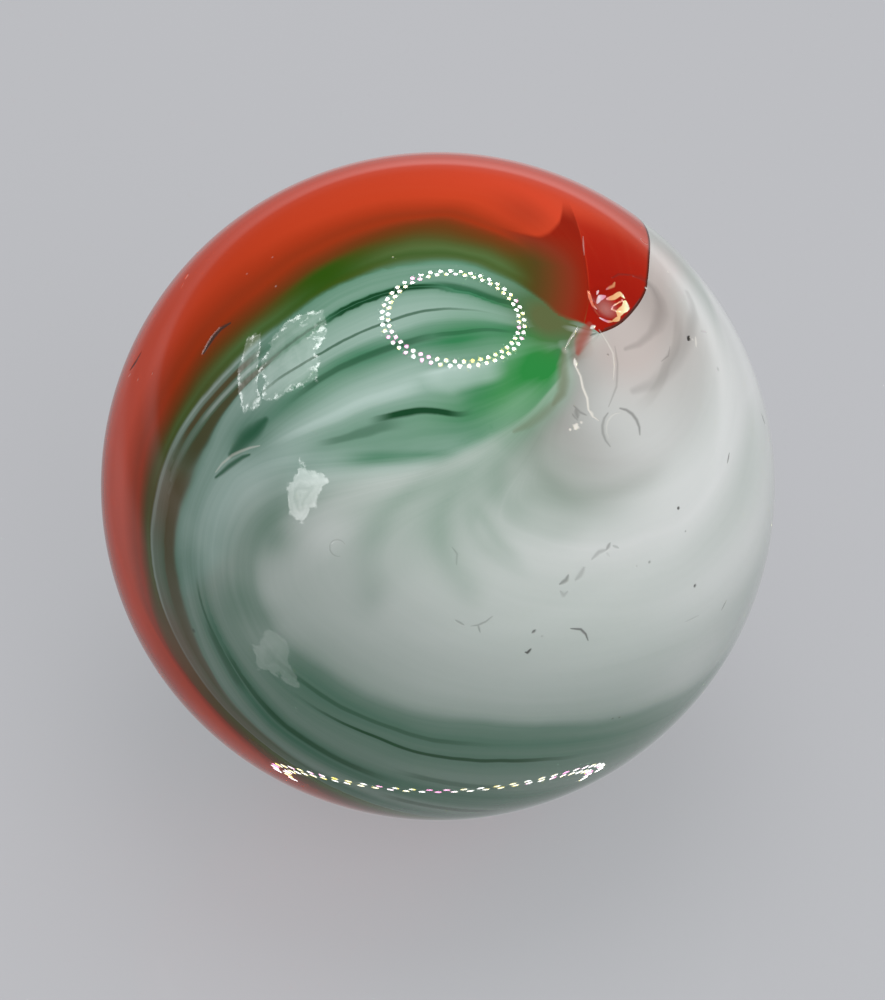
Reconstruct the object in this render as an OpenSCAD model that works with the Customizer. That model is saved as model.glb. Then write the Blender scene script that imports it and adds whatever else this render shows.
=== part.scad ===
// Glass swirl marble, rolled by machine from one gather of red, green and white glass.
// It is a single solid ball. Its two cut-off marks, where the shears parted the gather,
// lie on opposite sides, and its skin carries the chips and bruises of play.
//
// The centre of the ball is the origin and +Z is up. A place on the skin is given by its
// bearing, in degrees from -Y towards +X, and its height, in degrees above the equator.
// A heading on the skin runs from 0 (towards the top) through 90 (growing bearing).

/* [Ball] */
// Diameter of the ball
ball_d = 16; // [10:0.5:40]

/* [Cut-off marks] */
// Bearing of the upper cut-off mark
cut_bearing = 69.5; // [-180:0.5:180]
// Height of the upper cut-off mark
cut_height = 59; // [-90:0.5:90]
// Width of the sunken spot in each mark
dimple_w = 1.1; // [0.4:0.05:2]
// Depth of the sunken spot in the upper mark
upper_depth = 0.2; // [0.02:0.01:0.3]
// Depth of the sunken spot in the lower mark
lower_depth = 0.1; // [0.02:0.01:0.3]
// Width of a fold line at its widest
fold_w = 0.22; // [0.1:0.01:0.5]
// Depth of a fold line
fold_depth = 0.05; // [0.02:0.01:0.1]

/* [Chips] */
// Width of a chip, knocked out to a shell shape
chip_w = 0.45; // [0.2:0.05:1]
// Width of a bruise, where the skin is crushed but little glass is lost
bruise_w = 0.6; // [0.3:0.05:1]
// Width of a pit
pit_w = 0.16; // [0.08:0.02:0.3]
// Depth of every scoop as a share of its width
scoop_share = 0.12; // [0.05:0.01:0.3]

/* [Hidden] */
$fn = 96;

ball_r = ball_d / 2;

// The angle that one straight cut of a fold spans where it leaves the skin, and the step
// between cuts, which overlap by a third.
fold_span = 2 * acos(1 - fold_depth / ball_r);
fold_step = fold_span * 2 / 3;

// The lower cut-off mark is the upper one's antipode.
back_bearing = cut_bearing - 180;
back_height = -cut_height;

// Folds of the upper mark, each as [bearing and height from the mark, heading, length in degrees].
upper_folds = [
    [11.5, 6, 76, 26],
    [-27.5, -7, 195, 12],
    [-16.5, -5, 212, 10]
];
// The lower mark closed more cleanly, in one short fold.
lower_folds = [
    [0, 0, 35, 16]
];

// Where the skin is damaged, as [bearing, height].
chips = [[-91, 28], [-73, 48], [-105, 41]];
bruises = [[24, 23], [32, 27], [34, 47]];
pits = [
    [80, 43], [86, 40], [87, 18], [67, 25], [49, 26], [48, 12], [55, 3],
    [16, 16], [15, 13], [24, 14], [7, 19], [30, -7], [32, -8], [109, 51]
];

// Puts its children on the skin, with their +Z outwards and their +Y towards the top.
module on_skin(bearing, height)
    rotate([90 - height, 0, bearing])
        children();

// Radius of a round cutter that leaves a hollow of this width and depth.
function cutter_r(w, depth) = (w * w / 4 + depth * depth) / (2 * depth);

// A shell-shaped hollow.
module scoop(bearing, height, w, depth) {
    r = cutter_r(w, depth);
    on_skin(bearing, height)
        translate([0, 0, ball_r + r - depth])
            sphere(r = r);
}

// A crease that follows the skin in overlapping straight cuts and runs out at both ends.
module fold(bearing, height, heading, sweep) {
    r = cutter_r(fold_w, fold_depth);
    cuts = max(1, round((sweep - fold_span) / fold_step) + 1);
    first = -(cuts - 1) * fold_step / 2;
    on_skin(bearing, height)
        rotate([0, 0, -heading])
            for (i = [0 : cuts - 1])
                rotate([-(first + i * fold_step), 0, 0])
                    translate([0, 0, ball_r + r - fold_depth])
                        rotate([90, 0, 0])
                            cylinder(r = r, h = ball_r / 2, center = true);
}

module cut_off_mark(bearing, height, depth, folds) {
    scoop(bearing, height, dimple_w, depth);
    for (f = folds)
        fold(bearing + f[0], height + f[1], f[2], f[3]);
}

module wear() {
    for (c = chips)
        scoop(c[0], c[1], chip_w, chip_w * scoop_share);
    for (b = bruises)
        scoop(b[0], b[1], bruise_w, bruise_w * scoop_share / 2);
    for (p = pits)
        scoop(p[0], p[1], pit_w, pit_w * scoop_share * 2);
}

module marble()
    color("darkseagreen")
        difference() {
            sphere(r = ball_r);
            cut_off_mark(cut_bearing, cut_height, upper_depth, upper_folds);
            cut_off_mark(back_bearing, back_height, lower_depth, lower_folds);
            wear();
        }

marble();
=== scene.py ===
import math

import bmesh
import bpy
import numpy as np
from mathutils import Matrix, Vector


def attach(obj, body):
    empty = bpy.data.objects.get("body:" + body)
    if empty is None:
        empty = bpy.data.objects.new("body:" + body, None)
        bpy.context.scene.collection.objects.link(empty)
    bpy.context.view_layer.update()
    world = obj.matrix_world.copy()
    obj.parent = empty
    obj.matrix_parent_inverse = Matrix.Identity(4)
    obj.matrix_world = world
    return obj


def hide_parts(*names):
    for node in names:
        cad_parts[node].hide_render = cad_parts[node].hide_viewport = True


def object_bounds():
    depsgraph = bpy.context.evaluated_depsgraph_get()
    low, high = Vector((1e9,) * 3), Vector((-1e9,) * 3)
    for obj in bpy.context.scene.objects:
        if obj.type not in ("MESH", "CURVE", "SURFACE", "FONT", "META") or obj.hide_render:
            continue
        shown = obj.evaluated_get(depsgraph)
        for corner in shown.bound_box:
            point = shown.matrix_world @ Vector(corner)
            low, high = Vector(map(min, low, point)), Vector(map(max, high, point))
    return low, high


# A machine-rolled glass swirl marble. Lengths are in metres, the centre of the ball is the
# origin and +Z is up. A place on the ball is given by its bearing, in degrees from -Y towards
# +X, and its height above the equator.
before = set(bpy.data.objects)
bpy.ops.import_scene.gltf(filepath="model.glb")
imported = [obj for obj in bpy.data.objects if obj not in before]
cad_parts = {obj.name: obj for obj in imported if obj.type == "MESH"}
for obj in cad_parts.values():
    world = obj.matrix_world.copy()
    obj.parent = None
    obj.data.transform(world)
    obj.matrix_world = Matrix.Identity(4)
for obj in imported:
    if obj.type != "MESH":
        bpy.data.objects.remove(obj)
cad_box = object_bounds()
scene = bpy.context.scene
scene.view_settings.view_transform = "Standard"
MM = 0.001

# Camera
# A long lens that looks down on the ball from the front, from thirteen times its radius away,
# and aims a little off its centre.
BALL_R = (cad_box[1].z - cad_box[0].z) / 2
VIEW_HEIGHT = math.radians(42)
VIEW_DISTANCE = 13 * BALL_R
LENS_MM = 157.5
SENSOR_MM = 36
AIM_RIGHT = 0.109 * MM
AIM_UP = -0.326 * MM
camera = bpy.data.objects.new("camera", bpy.data.cameras.new("camera"))
camera.data.lens = LENS_MM
camera.data.sensor_width = SENSOR_MM
camera.data.clip_start = 1 * MM
camera.location = Vector((0, -math.cos(VIEW_HEIGHT), math.sin(VIEW_HEIGHT))) * VIEW_DISTANCE
aim = Vector((AIM_RIGHT, AIM_UP * math.sin(VIEW_HEIGHT), AIM_UP * math.cos(VIEW_HEIGHT)))
camera.rotation_euler = (aim - camera.location).to_track_quat("-Z", "Y").to_euler()
scene.collection.objects.link(camera)
scene.camera = camera

# Table
# A round pale table top of glossy lacquered board, which the ball stands on. Its lit colour
# is evened out a little for the camera, so that the ball's shadow stays as soft as in a bright
# room.
TABLE_R = 58 * MM
TABLE_T = 2 * MM
TABLE_EDGE = 0.4 * MM
BALL_LOW = -7.925 * MM
LACQUER = "#BCBDC0"
EVEN_COLOUR = "#C2C3C7"
EVENED = 0.6


def made(name, bm):
    """The object that a finished bmesh becomes."""
    piece = bpy.data.objects.new(name, bpy.data.meshes.new(name))
    bm.to_mesh(piece.data)
    bm.free()
    scene.collection.objects.link(piece)
    return piece


bm = bmesh.new()
bmesh.ops.create_cone(
    bm, cap_ends=True, segments=256, radius1=TABLE_R, radius2=TABLE_R, depth=TABLE_T,
)
bmesh.ops.translate(bm, verts=bm.verts, vec=(0, 0, BALL_LOW - TABLE_T / 2))
rim = [e for e in bm.edges if len({round(v.co.z, 6) for v in e.verts}) == 1]
bmesh.ops.bevel(
    bm, geom=rim, offset=TABLE_EDGE, segments=3, profile=0.5, affect="EDGES", material=-1,
)
table = made("table", bm)
table.visible_glossy = False


def linear(colour):
    """An sRGB hex colour as linear numbers."""
    parts = [int(colour[i:i + 2], 16) / 255 for i in (1, 3, 5)]
    return [p / 12.92 if p <= 0.04045 else ((p + 0.055) / 1.055) ** 2.4 for p in parts] + [1]


def add(tree, kind, inputs=None, stops=None, output=None, **settings):
    """Adds a node with its settings, the stops of its ramp, and its links or values. Gives back
    the output that is named, or else the first that is in use."""
    node = tree.nodes.new("ShaderNode" + kind)
    for name, value in settings.items():
        setattr(node, name, value)
    if stops:
        ramp = node.color_ramp.elements
        while len(ramp) < len(stops):
            ramp.new(1)
        for element, (at, colour) in zip(ramp, stops):
            element.position = at
            element.color = linear(colour) if isinstance(colour, str) else (colour,) * 3 + (1,)
    for socket, value in (inputs or {}).items():
        if isinstance(value, bpy.types.NodeSocket):
            tree.links.new(value, node.inputs[socket])
        else:
            node.inputs[socket].default_value = linear(value) if isinstance(value, str) else value
    return node.outputs[output] if output else next((o for o in node.outputs if o.enabled), None)


def finish(name):
    """A new material, with its node tree empty."""
    material = bpy.data.materials.new(name)
    material.use_nodes = True
    material.node_tree.nodes.clear()
    return material, material.node_tree


# Sprayed lacquer, rubbed down and polished until it mirrors the room
lacquer, board = finish("glossy_lacquer")
lit = add(board, "BsdfPrincipled", {"Base Color": LACQUER, "Roughness": 0.06, "IOR": 1.5})
even = add(board, "Emission", {"Color": EVEN_COLOUR, "Strength": 1.0})
to_camera = add(board, "LightPath", output="Is Camera Ray")
evened = add(board, "Math", {0: to_camera, 1: EVENED}, operation="MULTIPLY")
shown = add(board, "MixShader", {0: evened, 1: lit, 2: even})
add(board, "OutputMaterial", {"Surface": shown})
table.data.materials.append(lacquer)

# Light
# Soft light from overhead, a little behind the ball, in a pale room. Gloss shows the room as
# it is at night, dark above the table, with what shines in it: the lamp and the windows.

# How bright the room is from straight down at 0 to straight up at 1, as it lights the ball
# and then as gloss shows it
ROOM_LIGHT = [(0.5, "#A6A6AA"), (0.62, "#A6A6AA"), (0.95, "#E8E8EA")]
ROOM_GLOSS = [
    (0.0, "#ADADAF"), (0.06, "#ADADAF"), (0.12, "#BDBEC1"), (0.27, "#C5C6C9"), (0.315, "#9B9B9E"),
    (0.37, "#9B9B9E"), (0.42, "#C6C6C9"), (0.435, "#BABABD"), (0.455, "#707073"), (0.51, "#424244"),
    (0.56, "#38383A"),
]
# How much of the second there is from the left of the room at 0 to its right at 1
ROOM_SIDES = [
    (0.15, 0.6), (0.22, 0.38), (0.28, 0.4), (0.42, 0.68), (0.48, 0.9), (0.56, 0.96), (0.66, 1.05),
]
BACKDROP = "#BDBEC2"
room = bpy.data.worlds.new("room")
scene.world = room
room.use_nodes = True
sky = room.node_tree
sky.nodes.clear()
way = add(sky, "TexCoord", output="Generated")
height = add(sky, "SeparateXYZ", {0: way}, output="Z")
height = add(sky, "Math", {0: height, 1: 0.5, 2: 0.5}, operation="MULTIPLY_ADD")
rightward = add(sky, "SeparateXYZ", {0: way}, output="X")
rightward = add(sky, "Math", {0: rightward, 1: 0.5, 2: 0.5}, operation="MULTIPLY_ADD")
night = add(sky, "ValToRGB", {0: height}, stops=ROOM_GLOSS)
sides = add(sky, "ValToRGB", {0: rightward}, stops=ROOM_SIDES)
night = add(sky, "Mix", {0: 1.0, 6: night, 7: sides}, data_type="RGBA", blend_type="MULTIPLY")
seen = add(sky, "ValToRGB", {0: height}, stops=ROOM_LIGHT)
for kind, colour in (("Is Glossy Ray", night), ("Is Camera Ray", BACKDROP)):
    ray = add(sky, "LightPath", output=kind)
    seen = add(sky, "Mix", {0: ray, 6: seen, 7: colour}, data_type="RGBA")
glow = add(sky, "Background", {"Color": seen, "Strength": 1.0})
add(sky, "OutputWorld", {"Surface": glow})


def place(bearing, height):
    """The direction from the ball's centre that a bearing and a height name."""
    bearing, height = math.radians(bearing), math.radians(height)
    level = math.cos(height)
    return np.array([math.sin(bearing) * level, -math.cos(bearing) * level, math.sin(height)])


# Two soft boxes, which light the ball but don't show in it: the bearing, the height, the
# distance, the width and the watts of each.
for name, bearing, high, distance, width, watts in (
    ("key", 156.8, 77.1, 226 * MM, 150 * MM, 0.12),
    ("fill", 35, 35, 260 * MM, 220 * MM, 0.2),
):
    lamp = bpy.data.objects.new(name, bpy.data.lights.new(name, "AREA"))
    lamp.data.shape = "DISK"
    lamp.data.size = width
    lamp.data.energy = watts
    lamp.location = Vector(place(bearing, high)) * distance
    lamp.rotation_euler = lamp.location.to_track_quat("Z", "Y").to_euler()
    lamp.visible_glossy = False
    lamp.visible_camera = False
    scene.collection.objects.link(lamp)

# What shines in the gloss: a ceiling lamp of two rings of bright beads, and windows with leaves
# before them. Some are there again below the table top, dimmer, as the lacquer mirrors them.
RING_RIGHT = 13.5 * MM
RING_BACK = 29 * MM
RING_HEIGHT = 150 * MM
RING_R = 54 * MM
# How far the rings lie to either side of that radius, as a share of it
RING_APART = 0.045
# How deep they are for their width, and how many beads each has
RING_FLAT = 0.9
BEADS = 46
BEAD_R = 1.6 * MM
# How far apart the beads' tints lie
BEAD_TINT = 12 * MM
RING_GLOW = 32
# How much of the light the lacquer mirrors, and how far back it still mirrors the ring
MIRRORED = 0.2
MIRRORED_BACK = 60 * MM
WINDOW_AWAY = 260 * MM
# How large the leaves before the windows are, and the gaps that glint between them
LEAF = 30 * MM
GLINT = 9 * MM
# How soon the slope of a roof outside cuts off a window's lower corner
ROOF_CUT = 0.9
# The bearing and the height of each window, how wide and how high it is in millimetres, its
# glow, how much brighter its broken edge is, how ragged the leaves make it, and whether the
# lacquer mirrors it
WINDOWS = [
    (-103, 45, 144, 104, 2.7, 5.8, 0.6, False),
    (-102, 31, 130, 38, 2.5, 5.4, 0.55, False),
    (-52.5, 26, 62, 86, 6.8, 1.3, 0.75, True),
]


def shining(name, bm, glow, mirrored, rim=1.0, ragged=0.5):
    """A lamp that only gloss shows: beads with their tints, or a window with leaf shadows, a
    broken bright edge and the roof outside, which adds its light to the room's behind it."""
    if mirrored:
        bmesh.ops.scale(bm, verts=bm.verts, vec=(1, 1, -1))
        bmesh.ops.translate(bm, verts=bm.verts, vec=(0, 0, 2 * BALL_LOW))
        glow *= MIRRORED
    lamp = made(name, bm)
    bulb, tree = finish(name)
    bulb.cycles.emission_sampling = "NONE"
    spot = add(tree, "TexCoord", output="Object")
    if name.startswith("beads"):
        grain = add(tree, "TexNoise", {"Vector": spot, "Scale": 1 / BEAD_TINT, "Detail": 1.0})
        tint = add(tree, "ValToRGB", {0: grain}, stops=[
            (0.36, "#FF9AD8"), (0.42, "#FFFFFF"), (0.5, "#FFFFFF"), (0.53, "#FFE458"),
            (0.58, "#FFE458"), (0.61, "#FFFFFF"),
        ])
    else:
        # How far each point is from the window's middle, with 0.5 at its frame, at the roof or
        # at the leaves
        pane = add(tree, "TexCoord", output="UV")
        pane = add(tree, "VectorMath", {0: pane, 1: (0.5, 0.5, 0)}, operation="SUBTRACT")
        slope = (-ROOF_CUT, -ROOF_CUT, 0)
        roof = add(tree, "VectorMath", {0: pane, 1: slope}, operation="DOT_PRODUCT")
        pane = add(tree, "VectorMath", {0: pane}, operation="ABSOLUTE")
        aside, aloft = (add(tree, "SeparateXYZ", {0: pane}, output=axis) for axis in "XY")
        off_centre = add(tree, "Math", {0: aside, 1: aloft}, operation="MAXIMUM")
        off_centre = add(tree, "Math", {0: off_centre, 1: roof}, operation="MAXIMUM")
        leaves = add(tree, "TexNoise", {
            "Vector": spot, "Scale": 1 / LEAF, "Detail": 5.0, "Roughness": 0.65,
        })
        swing = add(tree, "Math", {0: leaves, 1: 0.5}, operation="SUBTRACT")
        broken = {0: swing, 1: ragged, 2: off_centre}
        broken = add(tree, "Math", broken, operation="MULTIPLY_ADD")
        inner = add(tree, "ValToRGB", {0: broken}, stops=[
            (0.0, 0.6), (0.06, 1.0), (0.14, 0.6), (0.24, 1.0), (0.32, 0.75), (0.405, 0.95),
            (0.43, 0.0),
        ])
        edge = add(tree, "ValToRGB", {0: broken}, stops=[
            (0.29, 0.0), (0.36, rim - 1), (0.405, rim - 1), (0.43, 0.0),
        ])
        # Glints where light comes in between the leaves at its edge
        gaps = add(tree, "TexNoise", {
            "Vector": spot, "Scale": 1 / GLINT, "Detail": 3.0, "Roughness": 0.7,
        })
        gaps = add(tree, "ValToRGB", {0: gaps}, stops=[(0.5, 0.0), (0.6, 1.0)])
        tint = add(tree, "VectorMath", {0: edge, 1: gaps, 2: inner}, operation="MULTIPLY_ADD")
    shine = add(tree, "Emission", {"Color": tint, "Strength": glow})
    through = add(tree, "AddShader", {0: shine, 1: add(tree, "BsdfTransparent")})
    add(tree, "OutputMaterial", {"Surface": through})
    lamp.data.materials.append(bulb)
    lamp.visible_camera = False
    lamp.visible_diffuse = False
    lamp.visible_shadow = False


for mirrored in (False, True):
    bm = bmesh.new()
    for i in range(2 * BEADS):
        turn = math.pi * i / BEADS
        reach = RING_R * (1 - RING_APART if i % 2 else 1 + RING_APART)
        back = RING_BACK + RING_FLAT * reach * math.sin(turn)
        at = Vector((reach * math.cos(turn), back, RING_HEIGHT))
        at.x += 0 if mirrored else RING_RIGHT
        if not mirrored or at.y < MIRRORED_BACK:
            bmesh.ops.create_icosphere(
                bm, subdivisions=2, radius=BEAD_R, matrix=Matrix.Translation(at),
            )
    shining(f"beads_{int(mirrored)}", bm, RING_GLOW, mirrored)
    for i, (bearing, high, wide, tall, glow, rim, ragged, doubled) in enumerate(WINDOWS):
        if doubled or not mirrored:
            bm = bmesh.new()
            bm.loops.layers.uv.new("pane")
            away = Vector(place(bearing, high))
            turned = away.to_track_quat("Z", "Y").to_matrix().to_4x4()
            size = Matrix.Diagonal((wide / 2 * MM, tall / 2 * MM, 1, 1))
            stood = Matrix.Translation(away * WINDOW_AWAY) @ turned @ size
            bmesh.ops.create_grid(
                bm, x_segments=1, y_segments=1, size=1, matrix=stood, calc_uvs=True,
            )
            edge_glow = 1.0 if mirrored else rim
            shining(f"window_{i}_{int(mirrored)}", bm, glow, mirrored, edge_glow, ragged)

# Marble
# A solid ball of red, green and milky white glass, cut off the gather hot and rolled round
# between grooved rollers, so it is a little longer from side to side. It has been played with.
HALF = np.array([7.99 * MM, -BALL_LOW, -BALL_LOW])
# How many faces there are along each edge of the block that the ball starts from
FACES = 88
bm = bmesh.new()
bmesh.ops.create_cube(bm, size=2)
bmesh.ops.subdivide_edges(bm, edges=bm.edges, cuts=FACES - 1, use_grid_fill=True)
# Spread by angle, the faces come out nearly even when the block is rounded to a ball
for vert in bm.verts:
    vert.co = Vector([math.tan(c * math.pi / 4) for c in vert.co]).normalized()


# How many degrees of a round crack each point of its path stands for
CRACK_STEP = 20


def ring_crack(bearing, height, radius, start, end):
    """The path of a round crack about a place, from one angle to another."""
    middle = place(bearing, height)
    right = np.array([-middle[1], middle[0], 0]) / math.hypot(middle[0], middle[1])
    up = np.cross(middle, right)
    path = []
    for turn in np.radians(np.arange(start, end + 1, CRACK_STEP)):
        point = middle + (right * math.cos(turn) + up * math.sin(turn)) * radius * MM / BALL_R
        tilt = math.asin(point[2] / np.linalg.norm(point))
        path.append((math.degrees(math.atan2(point[0], -point[1])), math.degrees(tilt)))
    return path


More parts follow.
